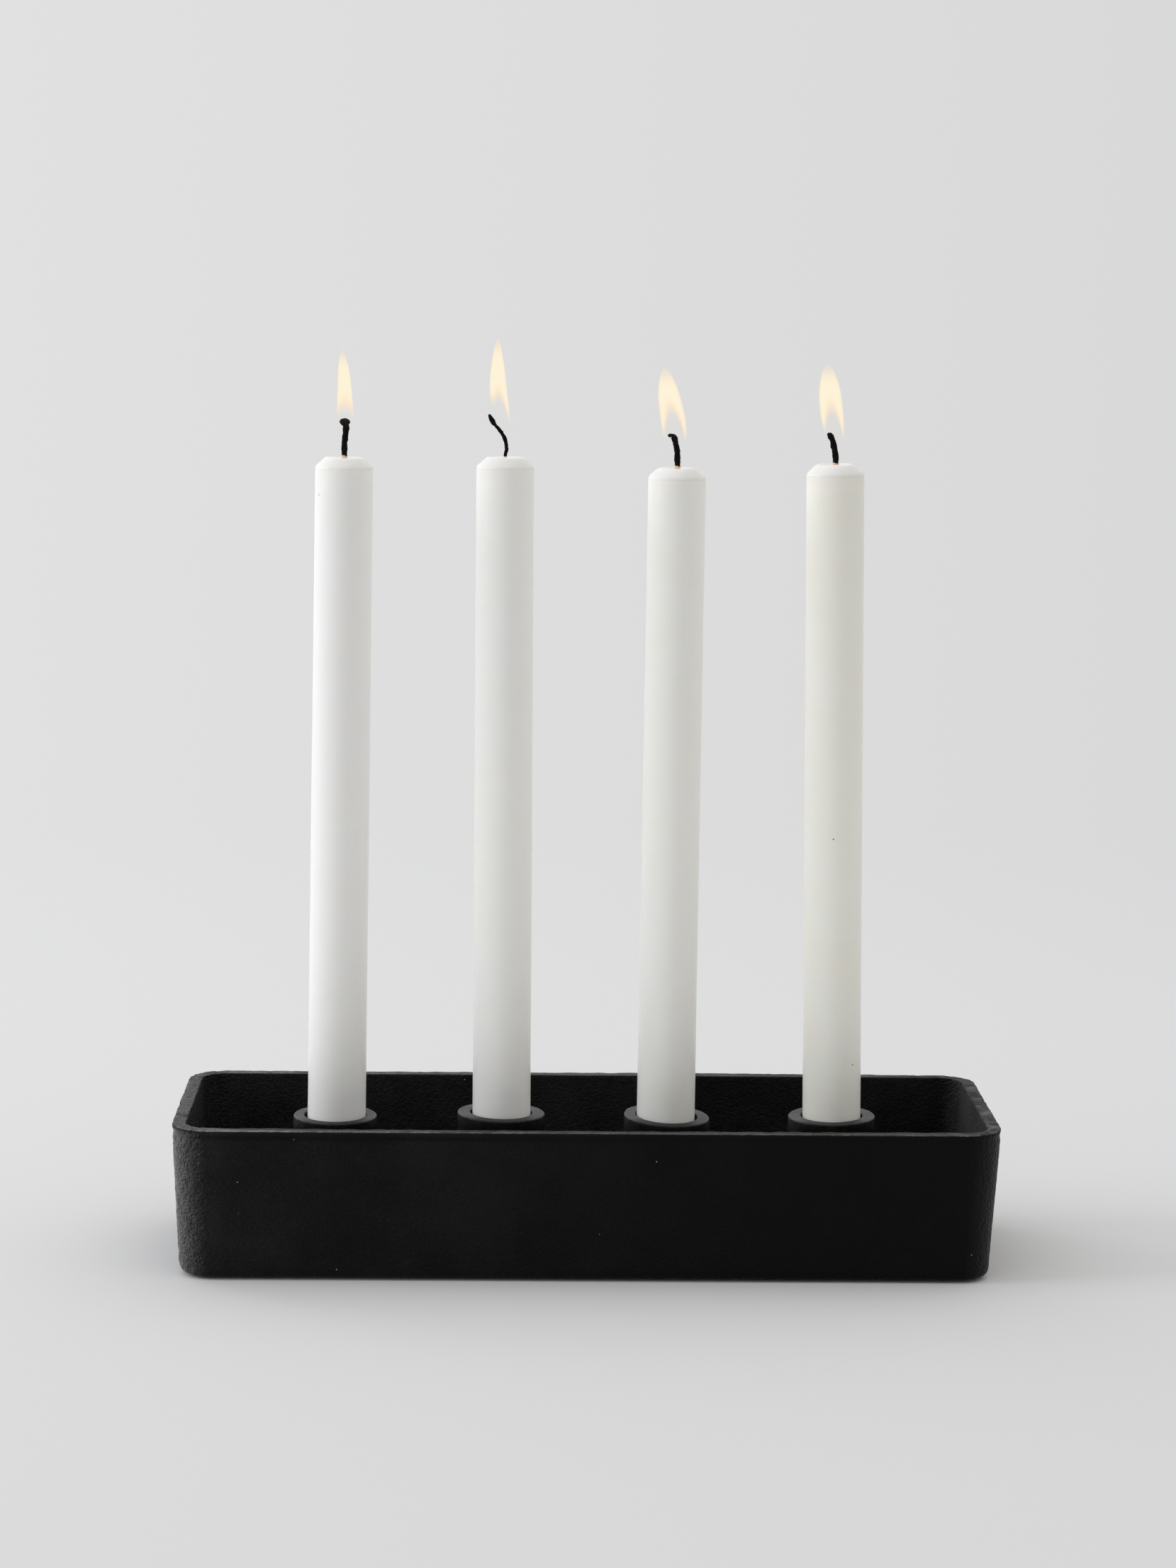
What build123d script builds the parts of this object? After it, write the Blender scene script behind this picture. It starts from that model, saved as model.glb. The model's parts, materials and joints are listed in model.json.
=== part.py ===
"""A cast-iron tray that holds four dinner candles in a row, with the candles lit.

The frame: +X runs along the tray, +Z is up, and the origin is on the table under the
tray's middle. Units are millimetres and degrees.
"""

from build123d import *
import os
from math import cos, radians, sin

# ---- tray -----------------------------------------------------------------------------
tray_length = 300.0  # over the rim
tray_width = 101.0  # over the rim
tray_height = 54.6
wall = 5.0
floor = 5.0
draft = 2.6  # both faces of every wall lean in towards the floor
corner_radius = 14.0  # outer corners, in plan, at the rim
base_round = 2.6
rim_round = 0.8
floor_round = 4.0

# ---- foot pads ------------------------------------------------------------------------
pad_radius = 8.0
pad_thickness = 1.0
pad_spacing = (252.0, 60.0)

# ---- candle cups ----------------------------------------------------------------------
cup_pitch = 61.6
cup_row_shift = -0.35  # the row's middle, from the tray's
cup_heights = (44.4, 45.7, 44.9, 45.3)
cup_outer_radii = (15.5, 16.2, 15.95, 16.2)
# Each top face slopes, as if filed by hand: its rise per millimetre along +X and +Y.
cup_top_slopes = ((-0.005, 0.013), (-0.02, 0.0), (-0.045, 0.035), (0.016, 0.004))
cup_bore_radius = 11.45
cup_bore_depth = 28.0
cup_stock = 2.0  # extra height that the sloping top face cuts away
cup_edge = 0.7
cup_bore_edge = 0.4
thread_radius = 2.5
thread_depth = 12.0

# ---- cup screws (M5 countersunk, hexagon socket) --------------------------------------
screw_length = 12.0
screw_recess = 0.3  # from the tray's underside to the head
sink_radius = 5.0
screw_clearance_radius = 2.7
screw_tip_chamfer = 0.5
socket_across_flats = 3.0
socket_depth = 1.6

# ---- candles --------------------------------------------------------------------------
candle_foot_radius = 10.8
candle_top_radius = 10.5
candle_gap = 0.2  # under the candle's foot, which stands a little askew
shoulder_width = 3.8
shoulder_drop = 3.2
dish_depth = 0.7
dish_fullness = 0.8  # the dish's depth halfway out, as a share of its full depth
foot_chamfer = 0.5
flame_wall = 0.3

# lean: towards +X. foot: the foot's offset from the cup's centre. top: height of the wax.
# wick_route: points past the top of the wax, as (across, up). tip_radius: the wick's end.
# flame: foot and point as (across, up), then the radius.
candles = (
    dict(
        lean=0.51,
        foot=0.25,
        top=293.9,
        wick_radius=1.05,
        wick_route=((0.1, 5.7), (0.7, 9.2), (0.5, 11.5)),
        tip_radius=1.8,
        flame_foot=(0.1, 12.4),
        flame_point=(-0.8, 38.6),
        flame_radius=3.2,
    ),
    dict(
        lean=-0.17,
        foot=0.23,
        top=294.6,
        wick_radius=0.75,
        wick_route=((0.4, 2.8), (0.0, 5.9), (-1.0, 8.2), (-3.4, 11.3), (-5.5, 14.5)),
        tip_radius=1.0,
        flame_foot=(-2.3, 17.6),
        flame_point=(-3.3, 43.1),
        flame_radius=3.6,
    ),
    dict(
        lean=0.16,
        foot=-0.4,
        top=291.5,
        wick_radius=1.05,
        wick_route=((-0.1, 3.0), (-0.2, 5.7), (-0.9, 9.5), (-2.6, 11.5)),
        tip_radius=1.2,
        flame_foot=(-1.3, 10.5),
        flame_point=(-5.5, 36.0),
        flame_radius=4.3,
    ),
    dict(
        lean=-0.87,
        foot=0.4,
        top=293.3,
        wick_radius=1.05,
        wick_route=((0.1, 1.9), (-0.4, 5.2), (-1.1, 8.4), (-2.2, 10.6)),
        tip_radius=1.2,
        flame_foot=(-0.9, 11.3),
        flame_point=(-3.5, 36.5),
        flame_radius=4.2,
    ),
)

# ---- sizes that follow from those above -----------------------------------------------
tray_base = pad_thickness
rim = tray_base + tray_height
tray_floor = tray_base + floor
cup_centres = [cup_row_shift + (n - (len(candles) - 1) / 2) * cup_pitch for n in range(len(candles))]


def make_tray():
    """An open box with drafted walls, drilled and countersunk for the cup screws."""
    with BuildPart() as tray:
        with BuildSketch(Plane.XY.offset(rim)):
            RectangleRounded(tray_length, tray_width, corner_radius)
        extrude(amount=-tray_height, taper=draft)
        fillet(tray.faces().sort_by(Axis.Z)[0].edges(), base_round)
        with BuildSketch(Plane.XY.offset(rim)):
            RectangleRounded(tray_length - 2 * wall, tray_width - 2 * wall, corner_radius - wall)
        extrude(amount=floor - tray_height, taper=draft, mode=Mode.SUBTRACT)
        inner_floor = tray.faces().filter_by(Axis.Z).sort_by(Axis.Z)[1]
        fillet(inner_floor.edges(), floor_round)
        fillet(tray.faces().sort_by(Axis.Z)[-1].edges(), rim_round)
        for x in cup_centres:
            with Locations(Plane(origin=(x, 0, tray_base), z_dir=(0, 0, -1))):
                CounterSinkHole(screw_clearance_radius, sink_radius, depth=floor, counter_sink_angle=90)
    return tray.part


def make_foot_pad(x, y):
    """A thin rubber disc between the tray and the table."""
    with BuildPart() as foot_pad:
        with BuildSketch(Plane.XY):
            with Locations((x, y)):
                Circle(pad_radius)
        extrude(amount=pad_thickness)
    return foot_pad.part


def make_cup(x, height, outer_radius, top_slope):
    """A thick-walled socket: a blind bore for the candle above, a tapped hole below."""
    rise_x, rise_y = top_slope
    top = Plane(origin=(x, 0, tray_floor + height), z_dir=(-rise_x, -rise_y, 1))
    with BuildPart() as cup:
        with BuildSketch(Plane.XY.offset(tray_floor)):
            with Locations((x, 0)):
                Circle(outer_radius)
        extrude(amount=height + cup_stock)
        split(bisect_by=top, keep=Keep.BOTTOM)
        with BuildSketch(Plane.XY.offset(tray_floor + height - cup_bore_depth)):
            with Locations((x, 0)):
                Circle(cup_bore_radius)
        extrude(amount=height, mode=Mode.SUBTRACT)
        chamfer(cup.faces().filter_by(top).edges().sort_by(SortBy.LENGTH)[-1], cup_edge)
        chamfer(cup.faces().filter_by(top).edges().sort_by(SortBy.LENGTH)[0], cup_bore_edge)
        with BuildSketch(Plane.XY.offset(tray_floor)):
            with Locations((x, 0)):
                Circle(thread_radius)
        extrude(amount=thread_depth, mode=Mode.SUBTRACT)
    return cup.part


def make_cup_screw(x):
    """A countersunk screw, whose head lies on the cone under the tray's floor."""
    under = tray_base + screw_recess
    head_radius = sink_radius - screw_recess
    head_height = head_radius - thread_radius
    with BuildPart() as cup_screw:
        with BuildSketch(Plane(origin=(x, 0, under), x_dir=(1, 0, 0), z_dir=(0, -1, 0))):
            with BuildLine():
                Polyline(
                    (0, 0),
                    (head_radius, 0),
                    (thread_radius, head_height),
                    (thread_radius, screw_length - screw_tip_chamfer),
                    (thread_radius - screw_tip_chamfer, screw_length),
                    (0, screw_length),
                    close=True,
                )
            make_face()
        revolve(axis=Axis((x, 0, 0), (0, 0, 1)))
        with BuildSketch(Plane.XY.offset(under)):
            with Locations((x, 0)):
                RegularPolygon(socket_across_flats / 2, 6, major_radius=False)
        extrude(amount=socket_depth, mode=Mode.SUBTRACT)
    return cup_screw.part


def candle_frame(x, cup_height, lean, foot):
    """The plane under a candle's foot, with its normal along the candle."""
    seat = tray_floor + cup_height - cup_bore_depth
    along = (sin(radians(lean)), 0, cos(radians(lean)))
    across = (cos(radians(lean)), 0, -sin(radians(lean)))
    return Plane(origin=(x + foot, 0, seat + candle_gap), x_dir=across, z_dir=along)


def lengthwise(frame):
    """The plane through a candle's middle whose axes run across and along the candle."""
    return Plane(origin=frame.origin, x_dir=frame.x_dir, z_dir=-frame.y_dir)


def make_wax(frame, length, wick_radius):
    """A slightly tapered candle with a burnt, dished top, and the hole that the wick fills."""
    with BuildPart() as wax:
        with BuildSketch(lengthwise(frame)):
            with BuildLine():
                shoulder = (candle_top_radius - shoulder_width, length)
                middle = ((wick_radius + shoulder[0]) / 2, length - dish_fullness * dish_depth)
                pool = (wick_radius, length - dish_depth)
                Polyline(
                    pool,
                    (wick_radius, 0),
                    (candle_foot_radius - foot_chamfer, 0),
                    (candle_foot_radius, foot_chamfer),
                    (candle_top_radius, length - shoulder_drop),
                    shoulder,
                )
                ThreePointArc(shoulder, middle, pool)
            make_face()
        revolve(axis=Axis(frame.origin, frame.z_dir))
    return wax.part


def make_wick(frame, length, wick_radius, route, tip_radius):
    """A braided wick the whole length of the candle, bent over above it where it is charred."""
    section = lengthwise(frame)
    burnt = [section.from_local_coords(Vector(x, length + up)) for x, up in route]
    with BuildPart() as wick:
        with BuildLine(section):
            straight = Line((0, 0), (0, length - dish_depth))
            bend = Spline(straight @ 1, *burnt, tangents=[frame.z_dir, burnt[-1] - burnt[-2]])
        with BuildSketch(frame):
            Circle(wick_radius)
        sweep()
        with Locations(bend @ 1):
            Sphere(tip_radius)
    return wick.part


def make_flame(frame, length, foot, point, radius):
    """A hollow spindle, open below, that stands for the glowing gas around the wick's tip."""
    start = Vector(foot[0], length + foot[1])
    rise = Vector(point[0] - foot[0], point[1] - foot[1])
    section = lengthwise(frame)
    base = section.from_local_coords(start)
    upright = (section.from_local_coords(start + rise) - base).normalized()
    outline = ((0.93, 0.0), (1.0, 0.2), (0.72, 0.62))
    with BuildPart() as flame:
        with BuildSketch(Plane(origin=base, x_dir=upright.cross(frame.y_dir), z_dir=frame.y_dir)):
            with BuildLine():
                height = rise.length
                inner = radius - flame_wall
                inner_height = height - 3 * flame_wall
                outside = Spline(*[(radius * r, height * s) for r, s in outline], (0, height))
                inside = Spline(*[(inner * r, height * s) for r, s in outline], (0, inner_height))
                Line(outside @ 0, inside @ 0)
                Line(outside @ 1, inside @ 1)
            make_face()
        revolve(axis=Axis(base, upright))
    return flame.part


pieces = {"tray": make_tray()}

cups = zip(cup_centres, cup_heights, cup_outer_radii, cup_top_slopes)
for number, (x, height, radius, slope) in enumerate(cups, 1):
    pieces[f"candle_cup_{number}"] = make_cup(x, height, radius, slope)
    pieces[f"cup_screw_{number}"] = make_cup_screw(x)

for number, spot in enumerate(GridLocations(*pad_spacing, 2, 2), 1):
    pieces[f"foot_pad_{number}"] = make_foot_pad(spot.position.X, spot.position.Y)

for number, (x, height, candle) in enumerate(zip(cup_centres, cup_heights, candles), 1):
    frame = candle_frame(x, height, candle["lean"], candle["foot"])
    length = (candle["top"] - frame.origin.Z) / cos(radians(candle["lean"]))
    name = f"candle_{number}"
    pieces[f"{name}_wax"] = make_wax(frame, length, candle["wick_radius"])
    pieces[f"{name}_wick"] = make_wick(
        frame, length, candle["wick_radius"], candle["wick_route"], candle["tip_radius"]
    )
    pieces[f"{name}_flame"] = make_flame(
        frame, length, candle["flame_foot"], candle["flame_point"], candle["flame_radius"]
    )

os.makedirs("parts", exist_ok=True)
for name, piece in pieces.items():
    piece.label = name
    export_step(piece, f"parts/{name}.step")
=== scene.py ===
"""Looks for the cast-iron candle tray and its four lit candles. Lengths are in metres."""

import json
import math

import bmesh
import bpy
import numpy as np
from mathutils import Matrix, Vector


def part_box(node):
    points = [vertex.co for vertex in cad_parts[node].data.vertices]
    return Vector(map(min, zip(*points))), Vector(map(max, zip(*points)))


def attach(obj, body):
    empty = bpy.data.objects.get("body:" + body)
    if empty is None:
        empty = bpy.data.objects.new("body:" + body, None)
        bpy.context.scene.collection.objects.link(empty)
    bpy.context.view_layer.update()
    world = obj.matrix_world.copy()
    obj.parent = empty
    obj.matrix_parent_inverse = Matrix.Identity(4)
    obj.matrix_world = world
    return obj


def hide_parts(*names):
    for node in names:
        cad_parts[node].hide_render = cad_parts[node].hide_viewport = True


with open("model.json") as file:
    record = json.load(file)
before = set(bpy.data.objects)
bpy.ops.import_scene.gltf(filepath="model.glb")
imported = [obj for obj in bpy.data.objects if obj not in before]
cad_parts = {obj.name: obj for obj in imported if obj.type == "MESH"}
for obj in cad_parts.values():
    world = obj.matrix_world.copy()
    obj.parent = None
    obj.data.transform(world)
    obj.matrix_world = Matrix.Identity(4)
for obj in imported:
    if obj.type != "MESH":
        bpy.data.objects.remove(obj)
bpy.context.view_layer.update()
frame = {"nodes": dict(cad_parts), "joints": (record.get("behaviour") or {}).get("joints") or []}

mm = 0.001
tray_low, tray_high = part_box("tray")
tray_half_length = (tray_high.x - tray_low.x) / 2
tray_half_width = (tray_high.y - tray_low.y) / 2

# ---- tray -----------------------------------------------------------------------------
corner_radius = 14 * mm
wall = 5 * mm
floor_thickness = 5 * mm
draft = math.tan(math.radians(2.6))
base_round = 2.6 * mm
floor_round = 4 * mm
sink_radius = 5 * mm
screw_clearance = 2.7 * mm
rim_round = 0.5 * mm
# Faces that meet at a sharper angle than this keep a crisp edge in the tray's floor.
crisp_angle = math.radians(29)
# How finely the tray's plan is divided: round a corner, along a side and across an end.
corner_steps = 38
side_steps = 170
end_steps = 104

# ---- candle cups ----------------------------------------------------------------------
bore_radius = 11.45 * mm
bore_depth = 28 * mm
cup_edge = 0.7 * mm
thread_radius = 2.5 * mm
thread_depth = 12 * mm
# How much each filed top face rises along +X and +Y.
cup_top_slopes = ((-0.005, 0.013), (-0.02, 0.0), (-0.045, 0.035), (0.016, 0.004))

# ---- candles --------------------------------------------------------------------------
candle_foot_radius = 10.8 * mm
candle_top_radius = 10.5 * mm
foot_edge = 0.5 * mm
shoulder_width = 3.8 * mm
shoulder_drop = 3.2 * mm
shoulder_round = 1.4 * mm
dish_depth = 0.7 * mm

# Each wick's burnt end, as (across, up) in millimetres from where it leaves the wax; its
# thickness in millimetres; and the lump of char at its tip, as (across, up), the direction
# it lies in, and half its length and thickness.
wicks = (
    dict(
        route=((0.0, 2.5), (0.05, 5.8), (0.35, 9.0), (0.55, 11.0), (0.45, 12.2)),
        thickness=2.15,
        lump=((0.0, 12.75), (-1.0, 0.04), 1.9, 1.45),
    ),
    dict(
        route=((0.4, 2.8), (0.0, 5.9), (-0.9, 8.0), (-2.2, 9.9), (-3.5, 11.3), (-4.1, 12.0)),
        thickness=1.35,
        lump=((-4.95, 13.35), (-0.48, 0.88), 2.4, 0.95),
    ),
    dict(
        route=((-0.1, 3.0), (-0.2, 5.7), (-0.7, 8.5), (-1.2, 10.5), (-1.75, 11.3)),
        thickness=2.15,
        lump=((-2.3, 11.6), (-1.0, 0.0), 1.55, 0.72),
    ),
    dict(
        route=((0.1, 1.9), (-0.2, 4.1), (-0.7, 6.8), (-1.3, 9.0), (-1.9, 10.3)),
        thickness=2.2,
        lump=((-2.1, 10.6), (-0.7, 0.7), 1.15, 0.95),
    ),
)

# Each flame's outline from its foot to its point, as (up, left, right) in millimetres
# from where the wick leaves the wax. Below the height of its heart the flame is clear in
# the middle. The arch is how much further down its glowing sides reach than its middle, and
# its left and right skirts fade out at the heights given last.
flames = (
    dict(
        outline=((9.0, -3.4, 3.5), (13.8, -3.2, 3.4), (19.5, -3.0, 2.9), (27.0, -2.8, 2.2),
                 (31.0, -2.7, 1.6), (34.0, -2.5, 0.8), (37.0, -2.0, -0.2), (39.3, -1.2, -1.2)),
        heart=18.8,
        arch=4.0,
        skirts=(12.0, 12.0),
    ),
    dict(
        outline=((11.0, -3.0, 1.9), (15.1, -4.9, 1.6), (18.2, -5.5, 1.3), (21.5, -5.9, 0.9),
                 (25.0, -6.0, 0.5), (29.3, -5.8, 0.0), (33.6, -5.3, -0.6), (38.0, -4.5, -1.4),
                 (41.0, -3.8, -2.0), (43.3, -2.9, -2.9)),
        heart=23.0,
        arch=27.0,
        skirts=(21.5, 12.5),
    ),
    dict(
        outline=((9.0, -5.0, 3.2), (13.9, -6.1, 3.1), (19.4, -6.9, 2.4), (22.7, -7.4, 1.6),
                 (26.0, -7.6, 0.6), (29.2, -7.5, -0.6), (32.0, -7.2, -1.9), (34.7, -6.4, -3.5),
                 (36.6, -5.2, -5.2)),
        heart=21.5,
        arch=27.0,
        skirts=(12.0, 10.0),
    ),
    dict(
        outline=((8.5, -3.7, 3.3), (11.2, -4.4, 3.2), (16.7, -5.5, 3.0), (22.7, -6.2, 2.4),
                 (26.0, -6.3, 1.9), (29.2, -6.0, 1.1), (32.0, -5.5, 0.1), (34.7, -4.5, -1.2),
                 (36.6, -2.9, -2.9)),
        heart=20.5,
        arch=27.0,
        skirts=(13.0, 9.5),
    ),
)


# ---- numbers --------------------------------------------------------------------------
def smooth(x, low, high):
    """0 below low, 1 above high and an even ease between."""
    t = np.clip((x - low) / (high - low), 0, 1)
    return t * t * (3 - 2 * t)


def bell(x, middle, width):
    """1 at the middle, falling away to 0 over a few widths on either side."""
    return np.exp(-(((x - middle) / width) ** 2))


def lattice(cells, seed):
    """A repeatable number from 0 to 1 for each row of whole numbers."""
    x, y, z = cells.astype(np.uint64).T
    h = x * np.uint64(73856093) ^ y * np.uint64(19349663) ^ z * np.uint64(83492791)
    h ^= np.uint64(seed * 2654435761)
    h = (h ^ (h >> np.uint64(13))) * np.uint64(0x5BD1E995)
    h = (h ^ (h >> np.uint64(15))) * np.uint64(0x27D4EB2D)
    return ((h >> np.uint64(16)) & np.uint64(0xFFFF)).astype(float) / 0xFFFF


def noise(points, size, seed):
    """Smooth noise from -1 to 1 at each point, with lumps about that size."""
    p = points / size + 4096.0
    cell = np.floor(p)
    t = p - cell
    t = t * t * (3 - 2 * t)
    total = np.zeros(len(points))
    for corner in np.ndindex(2, 2, 2):
        share = np.prod(np.where(corner, t, 1 - t), axis=1)
        total += share * lattice(cell + np.array(corner), seed)
    return 2 * total - 1


def along(values, share):
    """The value at each share, read smoothly from rows of (share, value, ...)."""
    table = np.array(values, float)
    x = np.clip(share, table[0, 0], table[-1, 0])
    slopes = np.gradient(table[:, 1:], table[:, 0], axis=0)
    i = np.clip(np.searchsorted(table[:, 0], x, "right") - 1, 0, len(table) - 2)
    width = (table[i + 1, 0] - table[i, 0])[:, None]
    t = ((x - table[i, 0])[:, None]) / width
    a, b = table[i, 1:], table[i + 1, 1:]
    return (
        a * (1 + 2 * t) * (1 - t) ** 2
        + b * t * t * (3 - 2 * t)
        + width * t * (1 - t) * (slopes[i] * (1 - t) - slopes[i + 1] * t)
    )


# ---- meshes ---------------------------------------------------------------------------
def loft(rings, close_ends=True):
    """Points and faces of a skin over rings of equally many points, (ring, point, xyz)."""
    count, around = rings.shape[:2]
    points = rings.reshape(-1, 3)
    row, j = np.meshgrid(np.arange(count - 1) * around, np.arange(around), indexing="ij")
    k = (j + 1) % around
    quads = np.stack([row + j, row + k, row + around + k, row + around + j], -1)
    faces = quads.reshape(-1, 4).tolist()
    if close_ends:
        faces.append(list(range(around))[::-1])
        faces.append(list(range((count - 1) * around, count * around)))
    return points, faces


def turned(profile, around):
    """Rings of points made by turning (radius, height) pairs about Z."""
    angle = np.linspace(0, 2 * math.pi, around, endpoint=False)
    radius, height = np.array(profile, float).T
    return np.stack(
        [
            radius[:, None] * np.cos(angle),
            radius[:, None] * np.sin(angle),
            np.repeat(height[:, None], around, axis=1),
        ],
        -1,
    )


def weld(points, faces):
    """A mesh with coincident points merged and its faces turned outwards."""
    mesh = bpy.data.meshes.new("shape")
    mesh.from_pydata([tuple(p) for p in points], [], faces)
    shape = bmesh.new()
    shape.from_mesh(mesh)
    bmesh.ops.remove_doubles(shape, verts=shape.verts, dist=1e-7)
    bmesh.ops.dissolve_degenerate(shape, edges=shape.edges, dist=1e-8)
    bmesh.ops.recalc_face_normals(shape, faces=shape.faces)
    shape.to_mesh(mesh)
    shape.free()
    return mesh


def positions(mesh):
    co = np.zeros(len(mesh.vertices) * 3, np.float32)
    mesh.vertices.foreach_get("co", co)
    return co.reshape(-1, 3).astype(float)


def normals(mesh):
    values = np.zeros(len(mesh.vertices) * 3, np.float32)
    mesh.vertices.foreach_get("normal", values)
    return values.reshape(-1, 3).astype(float)


def set_positions(mesh, points):
    mesh.vertices.foreach_set("co", points.astype(np.float32).ravel())
    mesh.update()


def mark(mesh, name, values):
    """Stores a number at each point for a material to read."""
    layer = mesh.attributes.new(name, "FLOAT", "POINT")
    layer.data.foreach_set("value", np.asarray(values, np.float32))


def piece(name, mesh, material, body, slot, *nodes):
    """Puts a finished mesh in the scene, riding on a body in place of CAD nodes."""
    mesh.name = name
    mesh.materials.clear()
    mesh.materials.append(material)
    mesh.polygons.foreach_set("use_smooth", [True] * len(mesh.polygons))
    thing = bpy.data.objects.new(name, mesh)
    bpy.context.scene.collection.objects.link(thing)
    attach(thing, body)
    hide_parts(*nodes)
    return thing


# ---- node helpers ---------------------------------------------------------------------
class Nodes:
    """The node tree of a material or a world, filled one node at a time."""

    def __init__(self, owner, output="OutputMaterial"):
        self.owner = owner
        self.owner.use_nodes = True
        self.tree = owner.node_tree
        self.tree.nodes.clear()
        self.output = self.node(output)

    def put(self, socket, value):
        """Gives a socket a value, or links it from another node's output."""
        if isinstance(value, bpy.types.NodeSocket):
            self.tree.links.new(value, socket)
        else:
            socket.default_value = value

    def node(self, kind, inputs=None, **settings):
        """A new node, its inputs given by name or by number."""
        made = self.tree.nodes.new("ShaderNode" + kind)
        for key, value in settings.items():
            setattr(made, key, value)
        for key, value in (inputs or {}).items():
            self.put(made.inputs[key], value)
        return made

    def place(self):
        return self.node("TexCoord").outputs["Object"]

    def attribute(self, name):
        return self.node("Attribute", attribute_name=name).outputs["Fac"]

    def maths(self, operation, a, b=0.0, c=0.0):
        return self.node("Math", {0: a, 1: b, 2: c}, operation=operation).outputs[0]

    def noise(self, size, detail=3.0, roughness=0.5):
        """Noise with lumps about that size, in metres."""
        inputs = {"Vector": self.place(), "Scale": 1 / size, "Detail": detail, "Roughness": roughness}
        return self.node("TexNoise", inputs).outputs["Fac"]

    def specks(self, spacing, rarity, radius):
        """1 on scattered dots, one in each cell that draws more than the rarity.

        The radius is a share of the spacing between cells.
        """
        cells = self.node("TexVoronoi", {"Vector": self.place(), "Scale": 1 / spacing}, feature="F1")
        draw = self.node("SeparateColor", {"Color": cells.outputs["Color"]}).outputs[0]
        chosen = self.maths("GREATER_THAN", draw, rarity)
        return self.maths("MULTIPLY", chosen, self.maths("LESS_THAN", cells.outputs["Distance"], radius))

    def ramp(self, value, low, high, to_low=0.0, to_high=1.0, kind="SMOOTHSTEP"):
        """One range mapped onto another, held at its ends."""
        inputs = {"Value": value, "From Min": low, "From Max": high, "To Min": to_low, "To Max": to_high}
        return self.node("MapRange", inputs, interpolation_type=kind).outputs["Result"]

    def mix(self, share, a, b):
        """One colour fading into another."""
        made = self.node("Mix", {"Factor": share}, data_type="RGBA")
        for key, value in (("A", a), ("B", b)):
            socket = next(s for s in made.inputs if s.name == key and s.type == "RGBA")
            self.put(socket, value if isinstance(value, bpy.types.NodeSocket) else (*value, 1.0))
        return next(s for s in made.outputs if s.type == "RGBA")

    def blend(self, share, first, second):
        """One shader fading into another."""
        return self.node("MixShader", {0: share, 1: first, 2: second}).outputs[0]

    def bump(self, height, depth):
        return self.node("Bump", {"Height": height, "Distance": depth, "Strength": 1.0}).outputs["Normal"]

    def surface(self, shader):
        """Ends the tree with that shader."""
        self.put(self.output.inputs["Surface"], shader)
        return self.owner

    def principled(self, inputs):
        """Ends the tree with a principled shader."""
        return self.surface(self.node("BsdfPrincipled", inputs).outputs[0])


def new_material(name):
    return Nodes(bpy.data.materials.new(name))


# ---- materials ------------------------------------------------------------------------
def cast_iron_material():
    """Black sand-cast iron: grained like sand, greyer on the rim from rubbing and painted light, with a
    few grains of dust. Painted light also lightens the black, most where the window would light it.
    """
    m = new_material("cast_iron")
    wear_and_painted_light, rough = m.attribute("wear_and_painted_light"), m.attribute("rough")
    pale, glint = m.attribute("pale"), m.attribute("glint")
    grain = m.node(
        "TexVoronoi",
        {"Vector": m.place(), "Scale": 1 / (0.75 * mm), "Smoothness": 0.5},
        feature="SMOOTH_F1",
    ).outputs["Distance"]
    grit = m.noise(0.6 * mm, detail=4.0, roughness=0.6)
    clumps = m.noise(1.0 * mm, detail=1.0)
    patches = m.noise(30 * mm, detail=6.0, roughness=0.65)
    dust = m.specks(5 * mm, 0.86, 0.04)
    # Painted light: the pale mark lightens the black where light falls, broken into random patches.
    painted_light_tone = m.maths("MULTIPLY", pale, m.ramp(m.maths("ADD", grit, patches), 0.75, 1.25, 0.4, 1.6))
    black = m.mix(painted_light_tone, (0.0012, 0.0012, 0.0013), (0.045, 0.0465, 0.05))
    # The rim's grey is real rubbing with painted light and painted sparkle on it.
    worn_and_painted_light = m.maths("MULTIPLY", wear_and_painted_light, m.ramp(grit, 0.3, 0.7, 0.45, 1.4))
    colour = m.mix(dust, m.mix(worn_and_painted_light, black, (0.17, 0.17, 0.172)), (0.34, 0.34, 0.33))
    height = m.maths("ADD", m.maths("MULTIPLY", grain, -0.6), m.maths("MULTIPLY", grit, 0.7))
    height = m.maths("MULTIPLY_ADD", clumps, 3.2, height)
    depth = m.maths("MULTIPLY_ADD", rough, 0.85, 0.15)
    grained = m.bump(m.maths("MULTIPLY", height, depth), 0.6 * mm)
    return m.principled(
        {
            "Base Color": colour,
            "Roughness": m.ramp(rough, 0.15, 1.0, 0.58, 0.5),
            "Specular IOR Level": 0.09,
            "Sheen Weight": 0.04,
            "Sheen Roughness": 0.35,
            "Coat Weight": glint,
            "Coat Roughness": 0.25,
            "Coat IOR": 1.62,
            "Normal": grained,
            "Coat Normal": grained,
        }
    )


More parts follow.
